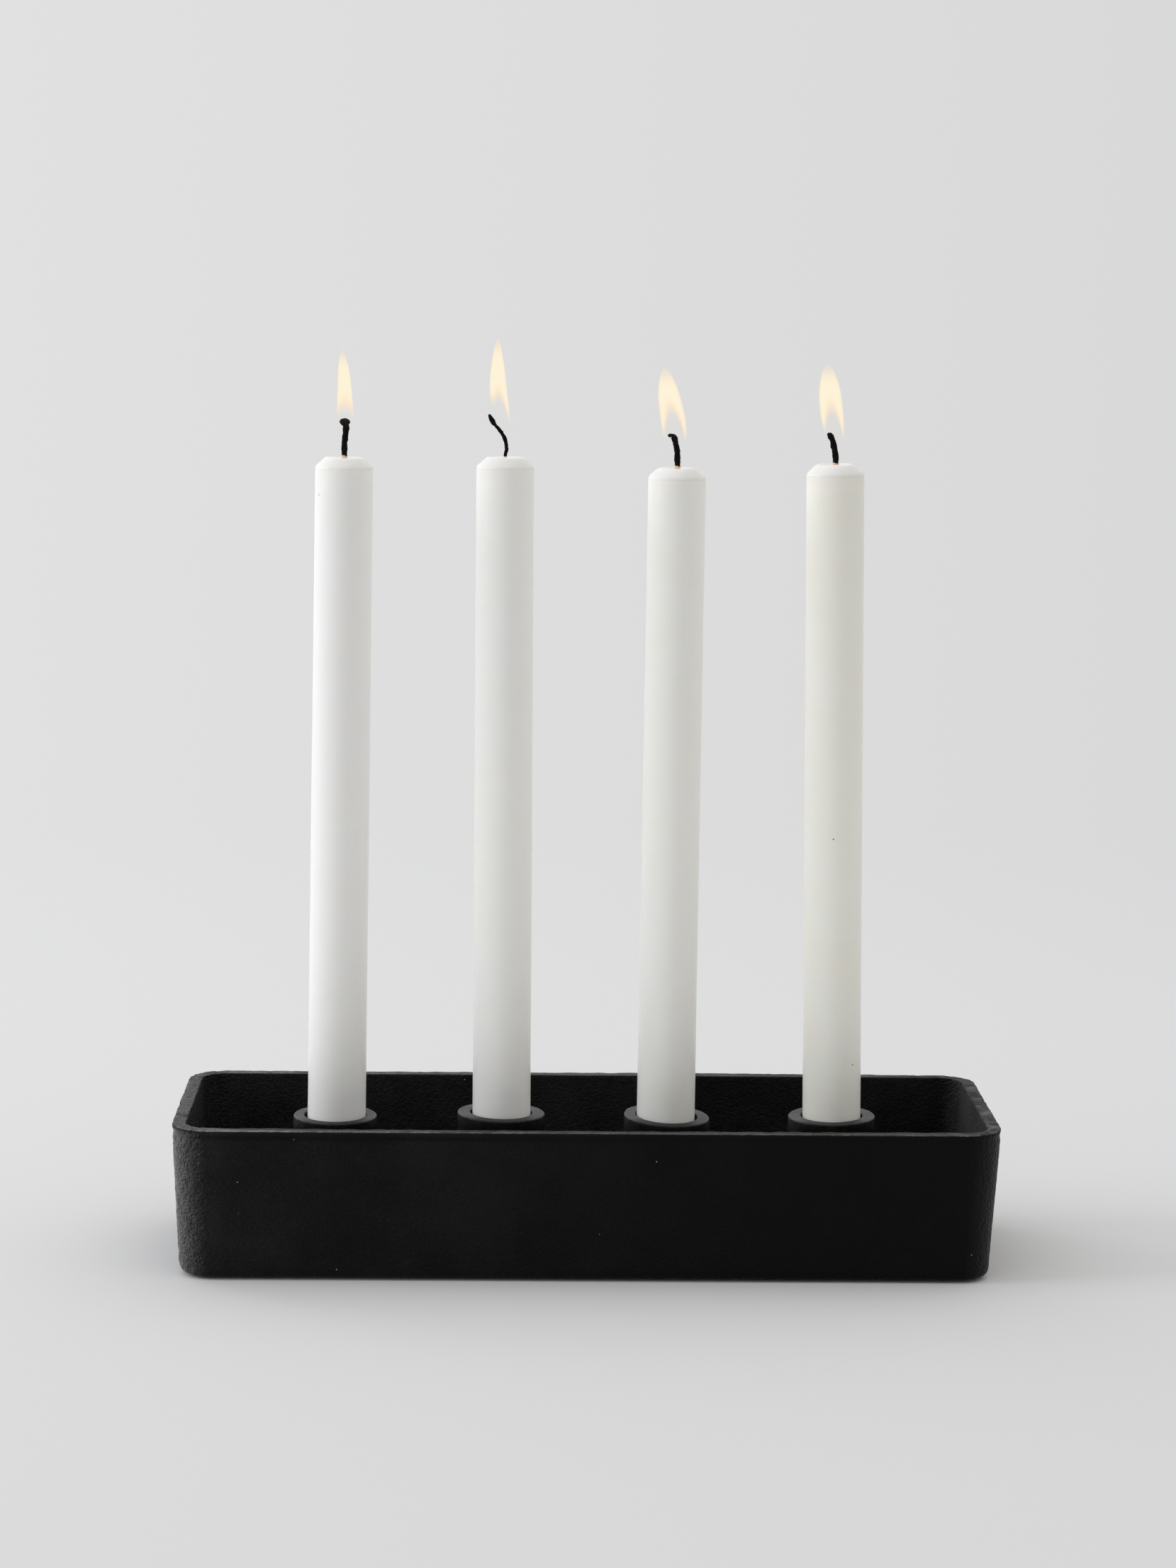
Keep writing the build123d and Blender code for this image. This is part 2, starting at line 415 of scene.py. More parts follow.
def cup_iron_material():
    """Smoother blue-black iron, paler on its top face and brightest along its edges, with painted shade on
    its front and right-hand side.
    """
    m = new_material("cup_iron")
    wear_and_painted_light = m.attribute("wear_and_painted_light")
    grit = m.noise(0.6 * mm, detail=4.0, roughness=0.6)
    patches = m.noise(9 * mm, detail=3.0)
    chip = m.noise(1.6 * mm, detail=3.0, roughness=0.7)
    # The bright edges are real rubbing, with painted shade dimming them towards the front.
    worn_and_painted_light = m.maths("MULTIPLY", wear_and_painted_light, m.ramp(chip, 0.3, 0.75, 0.25, 1.0))
    side = m.mix(m.ramp(patches, 0.35, 0.65), (0.007, 0.0073, 0.0082), (0.013, 0.0136, 0.015))
    # Painted shade: the front and the right-hand side of each cup are painted nearly black.
    side = m.mix(m.attribute("painted_shade"), side, (0.0012, 0.0012, 0.0014))
    top = m.mix(m.ramp(grit, 0.35, 0.65), (0.05, 0.051, 0.055), (0.076, 0.077, 0.083))
    black = m.mix(m.attribute("filed"), side, top)
    return m.principled(
        {
            "Base Color": m.mix(worn_and_painted_light, black, (0.16, 0.165, 0.17)),
            "Roughness": m.ramp(patches, 0.3, 0.7, 0.4, 0.5),
            "Specular IOR Level": 0.1,
            "Normal": m.bump(grit, 0.08 * mm),
        }
    )


def steel_material():
    """Black-oxide steel for the screws under the tray."""
    m = new_material("screw_steel")
    grain = m.noise(0.25 * mm, detail=3.0)
    cloud = m.noise(3 * mm, detail=2.0)
    return m.principled(
        {
            "Base Color": m.mix(cloud, (0.02, 0.02, 0.022), (0.05, 0.05, 0.054)),
            "Metallic": 0.85,
            "Roughness": m.ramp(grain, 0.3, 0.7, 0.32, 0.5),
            "Normal": m.bump(grain, 0.02 * mm),
        }
    )


def rubber_material():
    """Matte rubber for the foot pads."""
    m = new_material("foot_rubber")
    grain = m.noise(0.4 * mm, detail=3.0)
    dust = m.noise(4 * mm, detail=3.0)
    return m.principled(
        {
            "Base Color": m.mix(m.ramp(dust, 0.45, 0.75), (0.014, 0.014, 0.015), (0.04, 0.039, 0.037)),
            "Roughness": 0.8,
            "Specular IOR Level": 0.3,
            "Normal": m.bump(grain, 0.03 * mm),
        }
    )


def wax_material(name, pale, warm):
    """Smooth white candle wax: light goes a few millimetres in, and specks sit on it."""
    m = new_material(name)
    cloud = m.noise(14 * mm, detail=2.0)
    skin = m.noise(5 * mm, detail=3.0)
    dot = m.specks(9 * mm, 0.9, 0.03)
    body = m.mix(m.ramp(cloud, 0.3, 0.7), pale, warm)
    # Painted shade: the sloping shoulder, which faces up into the light, is painted a little greyer than
    # the rest of the wax.
    body = m.mix(m.attribute("shoulder_painted_shade"), body, (0.79, 0.785, 0.78))
    return m.principled(
        {
            "Base Color": m.mix(dot, body, (0.12, 0.1, 0.08)),
            "Roughness": m.ramp(skin, 0.3, 0.7, 0.3, 0.38),
            "IOR": 1.44,
            "Subsurface Weight": 1.0,
            "Subsurface Radius": (1.0, 0.95, 0.88),
            "Subsurface Scale": 4 * mm,
            "Normal": m.bump(skin, 0.05 * mm),
        }
    )


def wick_material():
    """Charred cotton braid that is still cream where it leaves the wax."""
    m = new_material("wick")
    crust = m.noise(0.45 * mm, detail=4.0, roughness=0.65)
    char = m.mix(m.ramp(crust, 0.4, 0.8), (0.0015, 0.0012, 0.0012), (0.012, 0.007, 0.006))
    return m.principled(
        {
            "Base Color": m.mix(m.attribute("bare"), char, (0.8, 0.58, 0.42)),
            "Roughness": 0.85,
            "Specular IOR Level": 0.12,
            "Normal": m.bump(crust, 0.15 * mm),
        }
    )


def flame_material():
    """Glowing gas: cream in the body, amber at its edges, and clear at the heart."""
    m = new_material("flame")
    rise, fade = m.attribute("rise"), m.attribute("fade")
    slant = m.node("LayerWeight", {"Blend": 0.5}).outputs["Facing"]
    arch = m.maths("MULTIPLY_ADD", slant, m.attribute("arch"), rise)
    body = m.ramp(arch, -3.5 * mm, 4 * mm)
    edge = m.ramp(slant, 0.25, 0.98, 1.0, 0.0)
    heat = m.maths("MULTIPLY", m.ramp(arch, -1 * mm, 6 * mm), m.maths("MULTIPLY", edge, fade))
    glow = m.mix(heat, (1.03, 0.82, 0.56), (1.0, 0.905, 0.69))
    solid = m.maths("MULTIPLY", m.maths("MULTIPLY", body, edge), fade)
    opacity = m.maths("MULTIPLY_ADD", solid, 0.74, m.maths("MULTIPLY", fade, 0.02))
    clear = m.node("BsdfTransparent").outputs[0]
    light = m.node("Emission", {"Color": glow, "Strength": 1.0}).outputs[0]
    return m.surface(m.blend(opacity, clear, light))


def floor_material():
    """Pale matte paper that fades out far from the object."""
    m = new_material("studio_floor")
    distance = m.node("VectorMath", {0: m.place()}, operation="LENGTH").outputs["Value"]
    depth = m.node("SeparateXYZ", {0: m.place()}).outputs["Y"]
    # Painted light: the paper is painted a little paler towards the back.
    painted_light_tone = m.mix(m.ramp(depth, -0.5, 0.4), (0.64, 0.637, 0.653), (0.672, 0.674, 0.691))
    paper = m.node("BsdfDiffuse", {"Color": painted_light_tone}).outputs[0]
    clear = m.node("BsdfTransparent").outputs[0]
    return m.surface(m.blend(m.ramp(distance, 0.5, 1.2), paper, clear))


# ---- tray -----------------------------------------------------------------------------
def arc_points(centre, radius, start, end, count):
    """Points of an arc, as (inset, height) pairs. Angles are in degrees."""
    angle = np.radians(np.linspace(start, end, count))
    return [(centre[0] + radius * math.cos(a), centre[1] + radius * math.sin(a)) for a in angle]


def tray_profile():
    """The wall's section from under the tray, over the rim, to the inner floor, as (inset, height)."""
    low, high = tray_low.z, tray_high.z
    inside = low + floor_thickness
    foot = (high - low) * draft
    corner = wall + (high - inside) * draft
    # The rings under the tray and on its floor stop this far in, in millimetres.
    innermost = 50
    outer_side = np.linspace(low + base_round + 0.7 * mm, high - 1.1 * mm, 84)
    inner_side = np.linspace(high - 1.5 * mm, inside + 4.6 * mm, 20)
    profile = [(inset * mm, low) for inset in (innermost, 20, 6)]
    profile += arc_points((foot + base_round, low + base_round), base_round, 270, 180, 6)
    profile += [((high - z) * draft, z) for z in outer_side]
    profile += arc_points((rim_round, high - rim_round), rim_round, 180, 90, 5)
    profile += [(inset * mm, high) for inset in np.linspace(1.4, wall / mm - 1.0, 6)]
    profile += arc_points((wall - rim_round, high - rim_round), rim_round, 90, 0, 4)
    profile += [(wall + (high - z) * draft, z) for z in inner_side]
    profile += arc_points((corner + floor_round, inside + floor_round), floor_round, 180, 270, 5)
    profile += [(inset * mm, inside) for inset in np.linspace(corner / mm + 6, innermost, 5)]
    return profile


def tray_ring(inset, height):
    """Points around the tray's plan at that inset from the rim's outline."""
    length, width = tray_half_length - inset, tray_half_width - inset
    radius = max(corner_radius - inset, min(0.35 * width, 2 * mm))
    points = []
    for quarter in range(4):
        start = quarter * math.pi / 2
        side_x, side_y = (1, -1, -1, 1)[quarter], (1, 1, -1, -1)[quarter]
        corner_x, corner_y = side_x * (length - radius), side_y * (width - radius)
        for a in np.linspace(start, start + math.pi / 2, corner_steps, endpoint=False):
            points.append((corner_x + radius * math.cos(a), corner_y + radius * math.sin(a), height))
        if quarter % 2 == 0:
            run = length - radius
            points += [
                (side_x * t * run, side_y * width, height)
                for t in np.linspace(1, -1, side_steps, endpoint=False)
            ]
        else:
            run = width - radius
            points += [
                (side_x * length, side_y * t * run, height)
                for t in np.linspace(1, -1, end_steps, endpoint=False)
            ]
    return points


def rim_inset(points):
    """How far each point lies inside the outer wall, measured level with it."""
    beyond_x = np.abs(points[:, 0]) - (tray_half_length - corner_radius)
    beyond_y = np.abs(points[:, 1]) - (tray_half_width - corner_radius)
    corner = np.hypot(np.maximum(beyond_x, 0), np.maximum(beyond_y, 0))
    past = corner + np.minimum(np.maximum(beyond_x, beyond_y), 0) - corner_radius
    return -past - (tray_high.z - points[:, 2]) * draft


def grain_depth(points):
    """How deep the sand grain is, from 0 up: most at the left-hand end, least along the sides."""
    from_end = tray_half_length - np.abs(points[:, 0])
    at_end = np.where(points[:, 0] < 0, 1.55, 0.5)
    return at_end + (0.15 - at_end) * smooth(from_end, 4 * mm, 17 * mm)


def cut_screw_holes(mesh):
    """Cuts the four countersunk screw holes up through the tray's floor."""
    cutter = bmesh.new()
    for number in range(1, 5):
        low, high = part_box(f"cup_screw_{number}")
        below = tray_low.z - 1 * mm
        throat = tray_low.z + sink_radius - screw_clearance
        above = tray_low.z + floor_thickness + 1 * mm
        profile = [(0, below), (sink_radius + 1 * mm, below), (screw_clearance, throat)]
        profile += [(screw_clearance, above), (0, above)]
        hole = weld(*loft(turned(profile, 48), close_ends=False))
        hole.transform(Matrix.Translation(((low.x + high.x) / 2, 0, 0)))
        cutter.from_mesh(hole)
    holes = bpy.data.meshes.new("screw_holes")
    cutter.to_mesh(holes)
    cutter.free()
    body = bpy.data.objects.new("uncut_tray", mesh)
    tool = bpy.data.objects.new("screw_holes", holes)
    bpy.context.scene.collection.objects.link(body)
    bpy.context.scene.collection.objects.link(tool)
    cut = body.modifiers.new("screw_holes", "BOOLEAN")
    cut.object = tool
    cut.operation = "DIFFERENCE"
    cut.solver = "EXACT"
    bpy.context.view_layer.update()
    result = bpy.data.meshes.new_from_object(body.evaluated_get(bpy.context.evaluated_depsgraph_get()))
    bpy.data.objects.remove(body)
    bpy.data.objects.remove(tool)
    return result


def crisp_holes(mesh):
    """Keeps the edges left by the cut crisp, so that the flat underside is shaded flat."""
    shape = bmesh.new()
    shape.from_mesh(mesh)
    for edge in shape.edges:
        in_floor = max(corner.co.z for corner in edge.verts) < tray_low.z + floor_thickness + 1 * mm
        if in_floor and edge.calc_face_angle(0) > crisp_angle:
            edge.smooth = False
    shape.to_mesh(mesh)
    shape.free()


def roughen_tray(mesh):
    """Gives the smooth tray its swells, sand grain, ragged rim, groove and lean."""
    points, out = positions(mesh), normals(mesh)
    under_rim = tray_high.z - points[:, 2]
    swell = 0.1 * mm * noise(points, 60 * mm, 1) + 0.07 * mm * noise(points, 17 * mm, 2)
    grain = 0.07 * mm * noise(points, 2.6 * mm, 3) + 0.17 * mm * noise(points, 1.3 * mm, 4)
    skin = np.minimum(grain_depth(points), 1) * grain
    ragged = 0.09 * mm * noise(points, 5 * mm, 5) + 0.11 * mm * noise(points, 2.0 * mm, 6)
    ragged *= 1 - smooth(under_rim, 0.3 * mm, 1.6 * mm)
    # A shallow groove runs just under the rim, deepest towards the tray's ends.
    groove = (0.16 + 0.2 * smooth(np.abs(points[:, 0] + 20 * mm), 70 * mm, 120 * mm)) * mm
    groove *= (rim_inset(points) < 2 * mm) * bell(under_rim, 2.6 * mm, 1.1 * mm)
    above_foot = smooth(points[:, 2], tray_low.z, tray_low.z + 3 * mm)
    points += out * ((swell + skin) * (0.15 + 0.85 * above_foot) + ragged - groove)[:, None]
    # The right-hand end leans out a little more than the left.
    lean = 0.75 * mm * (0.5 - smooth(under_rim, 0, 50 * mm))
    points[:, 0] += lean * smooth(points[:, 0], 100 * mm, 150 * mm)
    points[:, 2] = np.maximum(points[:, 2], tray_low.z)
    set_positions(mesh, points)


def rim_rubbing_and_painted_light(points):
    """How far the rim is greyed by rubbing and painted light: greyest at the left, towards the window, in
    patches at the right, with painted sparkle along its outer edge.
    """
    x, inset = points[:, 0], rim_inset(points)
    along_front = (points[:, 1] < 0) * smooth(tray_half_length - np.abs(x), 12 * mm, 30 * mm)
    inner_edge = smooth(inset, wall - 3.8 * mm, wall - 2.4 * mm)
    on_top = (1 - smooth(tray_high.z - points[:, 2], 0, 0.22 * mm)) * (1 - 0.85 * along_front * inner_edge)
    # Painted light: the rim is painted brighter towards the left.
    rubbed_and_painted_light = 0.36 + 0.24 * smooth(-x, 0, 110 * mm) - 0.1 * smooth(x, 20 * mm, 80 * mm)
    rubbed_and_painted_light += 0.1 * noise(points, 14 * mm, 7)
    rubbed_and_painted_light += 0.45 * smooth(x, 110 * mm, 140 * mm) * noise(points, 4 * mm, 15)
    # Painted sparkle: bright specks along the rim's outer edge, most towards the left.
    painted_sparkle = np.maximum(0, noise(points, 1.6 * mm, 8)) * (0.5 + 1.2 * smooth(-x, 0, 120 * mm))
    return on_top * (rubbed_and_painted_light + painted_sparkle * (inset < 1.0 * mm))


def end_gloss(points, out):
    """How glossy the outside of the tray's ends is: full at the left, slight at the right."""
    facing_out = smooth(np.abs(out[:, 0]), 0.0, 0.85)
    below_rim = smooth(tray_high.z - points[:, 2], 0.3 * mm, 1.5 * mm)
    share = np.where(points[:, 0] < 0, 1.0, 0.12)
    return (rim_inset(points) < 2 * mm) * facing_out * below_rim * share


def painted_light_share(points, out):
    """How far the black is lightened by painted light: most inside the right-hand end, which faces the
    window, then inside the back; the left half a little, with painted shade in the groove under the rim
    and a painted highlight beside the left-hand end.
    """
    x, under_rim = points[:, 0], tray_high.z - points[:, 2]
    inside = rim_inset(points) > 3 * mm
    inner_end = inside * smooth(x, 128 * mm, 140 * mm) * smooth(-out[:, 0], 0.3, 0.9)
    inner_back = inside * (points[:, 1] > 0) * smooth(-out[:, 1], 0.3, 0.9)
    # Painted light along the left half, with painted shade in the groove under the rim, and a painted
    # highlight beside the left-hand end.
    left_half = smooth(-x, -100 * mm, 150 * mm) * (1 - 0.9 * bell(under_rim, 2.4 * mm, 1 * mm))
    by_left_end = smooth(x, -140 * mm, -134 * mm) * (1 - smooth(x, -138 * mm, -128 * mm))
    pale = 0.02 + 0.12 * left_half + 0.08 * by_left_end
    pale += inner_back * (0.09 + 0.05 * smooth(x, -50 * mm, 50 * mm))
    return pale + 0.5 * inner_end * (1 - 0.4 * smooth(under_rim, 5 * mm, 45 * mm))


def make_tray(material):
    rings = np.array([tray_ring(inset, height) for inset, height in tray_profile()])
    mesh = weld(*loft(rings))
    roughen_tray(mesh)
    mesh = cut_screw_holes(mesh)
    crisp_holes(mesh)
    points, out = positions(mesh), normals(mesh)
    mark(mesh, "wear_and_painted_light", rim_rubbing_and_painted_light(points))
    mark(mesh, "glint", end_gloss(points, out))
    mark(mesh, "rough", grain_depth(points))
    mark(mesh, "pale", painted_light_share(points, out))
    return piece("cast_tray", mesh, material, "holder", "cast_iron", "tray")


# ---- candle cups ----------------------------------------------------------------------
def make_cup(number, material):
    node = f"candle_cup_{number}"
    low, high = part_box(node)
    centre = (low.x + high.x) / 2
    outer = (high.x - low.x) / 2
    rise_x, rise_y = cup_top_slopes[number - 1]
    top = high.z - (outer - cup_edge) * math.hypot(rise_x, rise_y)
    seat = top - bore_depth
    thread_end = low.z + thread_depth
    profile = [(0, thread_end), (thread_radius, thread_end), (thread_radius, low.z)]
    profile += [(outer - 0.5 * mm, low.z), (outer, low.z + 0.5 * mm)]
    profile += [(outer, z) for z in np.linspace(low.z + 2 * mm, top - 2 * mm, 26)]
    profile += arc_points((outer - cup_edge, top - cup_edge), cup_edge, 0, 90, 6)
    profile += [(r, top) for r in np.linspace(outer - 1.3 * mm, bore_radius + 0.8 * mm, 6)]
    profile += arc_points((bore_radius + 0.4 * mm, top - 0.4 * mm), 0.4 * mm, 90, 180, 4)
    profile += [(bore_radius, z) for z in np.linspace(top - 1.2 * mm, seat, 14)]
    profile += [(0, seat)]
    mesh = weld(*loft(turned(profile, 144), close_ends=False))
    points, out = positions(mesh), normals(mesh)
    filed = smooth(points[:, 2], top - 5 * mm, top - 1 * mm)
    points[:, 2] += (points[:, 0] * rise_x + points[:, 1] * rise_y) * filed
    radius = np.hypot(points[:, 0], points[:, 1])
    points[:, 0] += centre
    outside = smooth(radius, bore_radius + 0.3 * mm, bore_radius + 1.5 * mm)
    above = smooth(points[:, 2], low.z, low.z + 3 * mm)
    rough = 0.09 * mm * noise(points, 7 * mm, 10 + number)
    rough += 0.05 * mm * noise(points, 1.6 * mm, 20 + number)
    edge = bell(radius, outer - 0.35 * mm, 0.35 * mm) * filed
    nicks = edge * np.minimum(0, 0.3 * mm * (noise(points, 2.2 * mm, 30 + number) + 0.4))
    set_positions(mesh, points + out * (rough * outside * above + nicks)[:, None])
    # Painted shade: the front of each cup is painted darkest, then the right-hand side, and its top face
    # and edges are painted darker towards the front.
    front = smooth(-points[:, 1], 5 * mm, 13 * mm)
    mark(mesh, "painted_shade", np.maximum(front, 0.8 * smooth(points[:, 0] - centre, -5 * mm, 8 * mm)))
    mark(mesh, "wear_and_painted_light", edge * (1 - 0.7 * front) * (0.5 + 0.35 * noise(points, 6 * mm, 40 + number)))
    mark(mesh, "filed", smooth(out[:, 2], 0.3, 0.9) * filed * (1 - 0.8 * front))
    return piece(f"cup_{number}", mesh, material, "holder", "cup_iron", node)


# ---- foot pads ------------------------------------------------------------------------
def make_foot_pad(number, material):
    node = f"foot_pad_{number}"
    low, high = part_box(node)
    radius, height = (high.x - low.x) / 2, high.z - low.z
    bulge = height / 2
    profile = [(0, 0), (radius / 2, 0)]
    profile += [
        (radius - bulge + bulge * math.cos(a), bulge + bulge * math.sin(a))
        for a in np.linspace(-math.pi / 2, math.pi / 2, 7)
    ]
    profile += [(radius / 2, height), (0, height)]
    mesh = weld(*loft(turned(profile, 64), close_ends=False))
    centre = Vector(((low.x + high.x) / 2, (low.y + high.y) / 2, low.z))
    mesh.transform(Matrix.Translation(centre))
    return piece(f"rubber_pad_{number}", mesh, material, "holder", "foot_rubber", node)


# ---- candles --------------------------------------------------------------------------
def candle_place(number):
    """The matrix from a candle's own frame, foot at the origin, to the row's, and its length."""
    low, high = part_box(f"candle_{number}_wax")
    joint = next(j for j in frame["joints"] if j["name"] == f"candle_{number}_lift")
    up = Vector(joint["axis"]).normalized()
    across = Vector((up.z, 0, -up.x))
    lean = abs(up.x)
    foot_side = low.x + candle_foot_radius * up.z if up.x > 0 else high.x - candle_foot_radius * up.z
    foot = Vector((foot_side, (low.y + high.y) / 2, low.z + (candle_foot_radius - foot_edge) * lean))
    length = (high.z - foot.z - (candle_top_radius - shoulder_width) * lean) / up.z
    turn = Matrix((across, up.cross(across), up)).transposed()
    return Matrix.Translation(foot) @ turn.to_4x4(), length


def make_wax(number, place, length, wick_radius, material):
    """A tapered candle whose top has sunk in the heat to a sloping shoulder round a shallow dish."""
    lip = candle_top_radius - shoulder_width
    ledge = length - shoulder_drop
    profile = [(wick_radius, 0), (candle_foot_radius - foot_edge, 0), (candle_foot_radius, foot_edge)]
    for z in np.linspace(2 * mm, ledge - shoulder_round, 70):
        profile.append((candle_foot_radius + (candle_top_radius - candle_foot_radius) * z / ledge, z))
    profile += arc_points((candle_top_radius - shoulder_round, ledge - 0.8 * mm), shoulder_round, 0, 42, 9)
    for t in np.linspace(0.24, 0.92, 10):
        profile.append((candle_top_radius - shoulder_width * t, ledge + shoulder_drop * t))
    profile += [(lip - 0.1 * mm, length - 0.06 * mm), (lip - 0.6 * mm, length)]
    profile += [(lip - 1.2 * mm, length - 0.1 * mm), (lip - 2.0 * mm, length - 0.45 * mm)]
    dish = length - dish_depth
    profile += [(lip - 2.9 * mm, dish), (wick_radius + 0.8 * mm, dish)]
    profile += [(wick_radius + 0.3 * mm, dish + 0.1 * mm), (wick_radius, dish + 0.3 * mm)]
    profile += [(wick_radius, dish - 3 * mm)]
    rings = turned(profile, 120)
    mesh = weld(*loft(np.concatenate([rings, rings[:1]]), close_ends=False))
    points, out = positions(mesh), normals(mesh)
    above = smooth(points[:, 2], length - 2.6 * mm, length - 0.6 * mm)
    slump = above * 0.3 * mm * noise(points * (1, 1, 0.3), 5 * mm, 30 + number)
    wave = 0.04 * mm * noise(points * (1, 1, 0.25), 9 * mm, 40 + number)
    free = smooth(points[:, 2], 30 * mm, 40 * mm)
    radius = np.hypot(points[:, 0], points[:, 1])
    skin = smooth(radius, wick_radius + 0.2 * mm, wick_radius + 1.5 * mm)
    points += out * (wave * free * skin)[:, None]
    points[:, 2] += slump * skin
    set_positions(mesh, points)
    # Painted shade: the shoulder, which faces up into the light, is marked to be painted greyer.
    mark(mesh, "shoulder_painted_shade", smooth(points[:, 2], ledge - 2.2 * mm, ledge - 0.2 * mm))
    mesh.transform(place)
    return piece(f"wax_{number}", mesh, material, f"candle_{number}", "wax", f"candle_{number}_wax")


def char_lump(centre, direction, half_length, half_thickness):
    """A rounded lump lying in the wick's plane."""
    turn = np.linspace(0, math.pi, 17)
    ahead = Vector((direction[0], 0, direction[1])).normalized()
    across = Vector((0, 1, 0))
    angle = np.linspace(0, 2 * math.pi, 24, endpoint=False)
    reach = half_thickness * np.sin(turn)[:, None, None]
    rings = (
        np.array((centre[0], 0, centre[1]))
        - np.array(ahead) * half_length * np.cos(turn)[:, None, None]
        + np.array(ahead.cross(across)) * reach * np.cos(angle)[:, None]
        + np.array(across) * reach * np.sin(angle)[:, None]
    )
    return weld(*loft(rings, close_ends=False))


def make_wick(number, place, length, material):
    """A braided wick from the candle's foot to its charred, bent tip."""
    start = length - dish_depth
    wick = wicks[number - 1]
    radius = wick["thickness"] / 2 * mm
    route = [(0, 0.0, start), (1, 0.0, length + 0.8 * mm)]
    route += [(n + 2, x * mm, length + up * mm) for n, (x, up) in enumerate(wick["route"])]
    bend = along(route, np.linspace(0, len(route) - 1, 90))
    travelled = np.concatenate([[0], np.cumsum(np.hypot(*np.diff(bend, axis=0).T))])
    line = np.concatenate([[(0, 0), (0, start / 2)], bend])
    depth = np.concatenate([[-start, -start / 2], travelled])
    tangent = np.gradient(line, axis=0)
    tangent /= np.linalg.norm(tangent, axis=1)[:, None]
    angle = np.linspace(0, 2 * math.pi, 24, endpoint=False)
    charred = smooth(depth, 0.5 * mm, 2 * mm)
    reach = radius * (1 + 0.08 * charred[:, None] * np.cos(2 * angle - depth[:, None] / (0.6 * mm)))
    side = np.stack([tangent[:, 1], np.zeros(len(line)), -tangent[:, 0]], -1)
    centre = np.stack([line[:, 0], np.zeros(len(line)), line[:, 1]], -1)
    rings = (
        centre[:, None]
        + side[:, None] * (reach * np.cos(angle))[..., None]
        + np.array((0, 1, 0)) * (reach * np.sin(angle))[..., None]
    )
    (x, up), direction, half_length, half_thickness = wick["lump"]
    lump = char_lump((x * mm, length + up * mm), direction, half_length * mm, half_thickness * mm)
    shape = bmesh.new()
    shape.from_mesh(weld(*loft(rings)))
    shape.from_mesh(lump)
    mesh = bpy.data.meshes.new("wick")
    shape.to_mesh(mesh)
    shape.free()
    points, out = positions(mesh), normals(mesh)
    height = points[:, 2] - start
    crust = smooth(height, 1.2 * mm, 2.5 * mm) * 0.13 * mm * noise(points, 0.8 * mm, 50 + number)
    set_positions(mesh, points + out * crust[:, None])
    burn_line = 1.2 * mm + 0.35 * mm * noise(points, 0.8 * mm, 60 + number)
    mark(mesh, "bare", 1 - smooth(height - burn_line, -0.2 * mm, 0.2 * mm))
    mesh.transform(place)
    return piece(f"wick_{number}", mesh, material, f"candle_{number}", "wick", f"candle_{number}_wick")


def make_flame(number, place, length, material):
    """A closed spindle of glowing gas that leans as its outline does."""
    flame = flames[number - 1]
    outline = np.array(flame["outline"], float) * mm
    foot, point = outline[0, 0], outline[-1, 0]
    up = foot + (point - foot) * np.sin(np.linspace(0, math.pi / 2, 48))
    left, right = along(outline, up).T
    middle, half = (left + right) / 2, np.maximum((right - left) / 2, 0.02 * mm)
    angle = np.linspace(0, 2 * math.pi, 48, endpoint=False)
    rings = np.stack(
        [
            middle[:, None] + half[:, None] * np.cos(angle),
            0.92 * half[:, None] * np.sin(angle),
            np.repeat((length + up)[:, None], len(angle), axis=1),
        ],
        -1,
    )
    mesh = weld(*loft(rings))
    points = positions(mesh)
    height = points[:, 2] - length
    side = (points[:, 0] - np.interp(height, up, middle)) / np.interp(height, up, half)
    left_skirt, right_skirt = flame["skirts"]
    skirt = (left_skirt + (right_skirt - left_skirt) * (np.clip(side, -1, 1) + 1) / 2) * mm
    tip = 1 - smooth(height, point - 8 * mm, point + 1 * mm)
    mark(mesh, "rise", height - flame["heart"] * mm)
    mark(mesh, "arch", np.full(len(points), flame["arch"] * mm))
    mark(mesh, "fade", smooth(height, skirt - 2.5 * mm, skirt + 5 * mm) * tip)
    mesh.transform(place)
    return piece(f"flame_{number}", mesh, material, f"candle_{number}", "flame", f"candle_{number}_flame")


# ---- the studio -----------------------------------------------------------------------
camera_place = (-0.0335, -1.3187, 0.3601)
# How far the camera is turned to the right, tilted down and rolled, in degrees.
camera_turns = (1.443, 7.982, 0.699)
# The camera's own two sizes are in millimetres.
sensor_width = 36
lens_length = 83.19
floor_reach = 3.0
lit_point = Vector((0, 0, 0.12))
daylight = (0.975, 0.99, 1.0)


def make_camera():
    """A long lens a little over a metre in front, looking slightly down."""
    yaw, pitch, roll = (math.radians(a) for a in camera_turns)
    forward = Vector((math.sin(yaw) * math.cos(pitch), math.cos(yaw) * math.cos(pitch), -math.sin(pitch)))
    level = Vector((math.cos(yaw), -math.sin(yaw), 0))
    upright = level.cross(forward)
    right = math.cos(roll) * level + math.sin(roll) * upright
    up = -math.sin(roll) * level + math.cos(roll) * upright
    lens = bpy.data.cameras.new("camera")
    lens.sensor_width = sensor_width
    lens.lens = lens_length
    camera = bpy.data.objects.new("camera", lens)
    turn = Matrix((right, up, -forward)).transposed().to_4x4()
    camera.matrix_world = Matrix.Translation(camera_place) @ turn
    bpy.context.scene.collection.objects.link(camera)
    bpy.context.scene.camera = camera


def make_floor():
    """The sheet of paper that the object stands on. It isn't part of the object."""
    mesh = bpy.data.meshes.new("floor")
    corners = [(x * floor_reach, y * floor_reach, 0) for x, y in ((-1, -1), (1, -1), (1, 1), (-1, 1))]
    mesh.from_pydata(corners, [], [(0, 1, 2, 3)])
    mesh.materials.append(floor_material())
    floor = bpy.data.objects.new("floor", mesh)
    bpy.context.scene.collection.objects.link(floor)


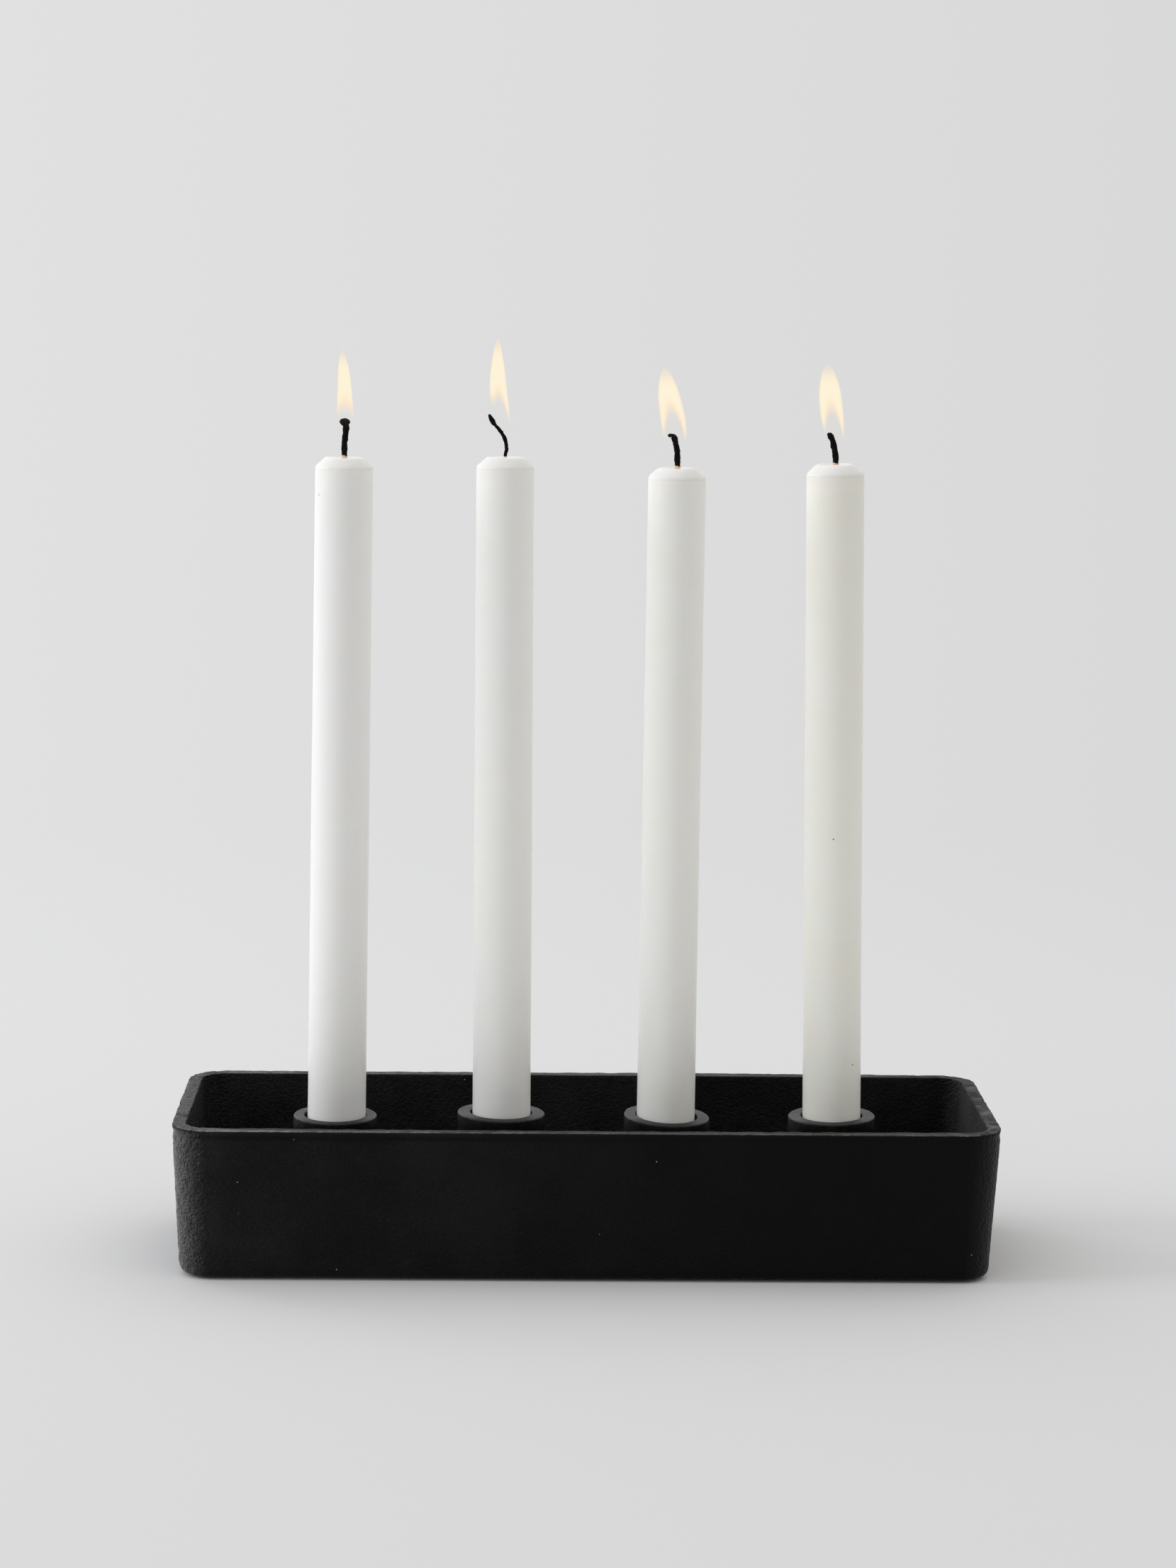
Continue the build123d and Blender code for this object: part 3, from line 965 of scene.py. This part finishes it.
def make_light(name, place, size, power, colour):
    """A square soft box that faces a point a little above the tray."""
    lamp = bpy.data.lights.new(name, "AREA")
    lamp.size = size
    lamp.energy = power
    lamp.color = colour
    box = bpy.data.objects.new(name, lamp)
    turn = (lit_point - Vector(place)).to_track_quat("-Z", "Y").to_matrix().to_4x4()
    box.matrix_world = Matrix.Translation(place) @ turn
    bpy.context.scene.collection.objects.link(box)


def make_world():
    """Light from a pale room, brightest overhead. The camera sees a plain backdrop in its place."""
    world = bpy.data.worlds.new("studio")
    bpy.context.scene.world = world
    m = Nodes(world, "OutputWorld")
    direction = m.node("TexCoord").outputs["Generated"]
    rightward = m.node("SeparateXYZ", {0: direction}).outputs["X"]
    brightest = Vector((-0.15, 0.3, 0.9)).normalized()
    towards = m.node("VectorMath", {0: direction, 1: brightest}, operation="DOT_PRODUCT").outputs["Value"]
    glow = m.ramp(towards, -1.0, 1.0, 0.05, 1.15, kind="LINEAR")
    # The room is a little warmer on the right, away from the window.
    tint = m.mix(m.ramp(rightward, -1.0, 1.0, kind="LINEAR"), (0.985, 0.995, 1.0), (1.0, 0.98, 0.925))
    light = m.node("Background", {"Color": tint, "Strength": glow}).outputs[0]
    backdrop = m.ramp(rightward, -0.16, 0.2, 0.755, 0.69, kind="LINEAR")
    seen = m.node("Background", {"Color": (1.0, 1.0, 1.0, 1.0), "Strength": backdrop}).outputs[0]
    m.surface(m.blend(m.node("LightPath").outputs["Is Camera Ray"], light, seen))


# ---- put together ---------------------------------------------------------------------
make_camera()
make_floor()
make_world()
make_light("window", (-2.75, -0.3, 1.35), 1.3, 30.0, daylight)
make_light("back_window", (-2.3, 1.7, 1.0), 1.0, 9.0, daylight)
bpy.context.scene.view_settings.view_transform = "Standard"

make_tray(cast_iron_material())
cup_iron = cup_iron_material()
steel = steel_material()
rubber = rubber_material()
char = wick_material()
gas = flame_material()
waxes = (
    wax_material("wax_white", (0.95, 0.945, 0.925), (0.94, 0.93, 0.9)),
    wax_material("wax_pale", (0.945, 0.935, 0.91), (0.935, 0.92, 0.89)),
    wax_material("wax_soft", (0.945, 0.93, 0.9), (0.935, 0.915, 0.875)),
    wax_material("wax_cream", (0.94, 0.92, 0.87), (0.93, 0.905, 0.84)),
)
for number in range(1, 5):
    make_cup(number, cup_iron)
    make_foot_pad(number, rubber)
    screw = frame["nodes"][f"cup_screw_{number}"]
    screw.data.materials.clear()
    screw.data.materials.append(steel)
    place, length = candle_place(number)
    make_wax(number, place, length, wicks[number - 1]["thickness"] / 2 * mm, waxes[number - 1])
    make_wick(number, place, length, char)
    make_flame(number, place, length, gas)
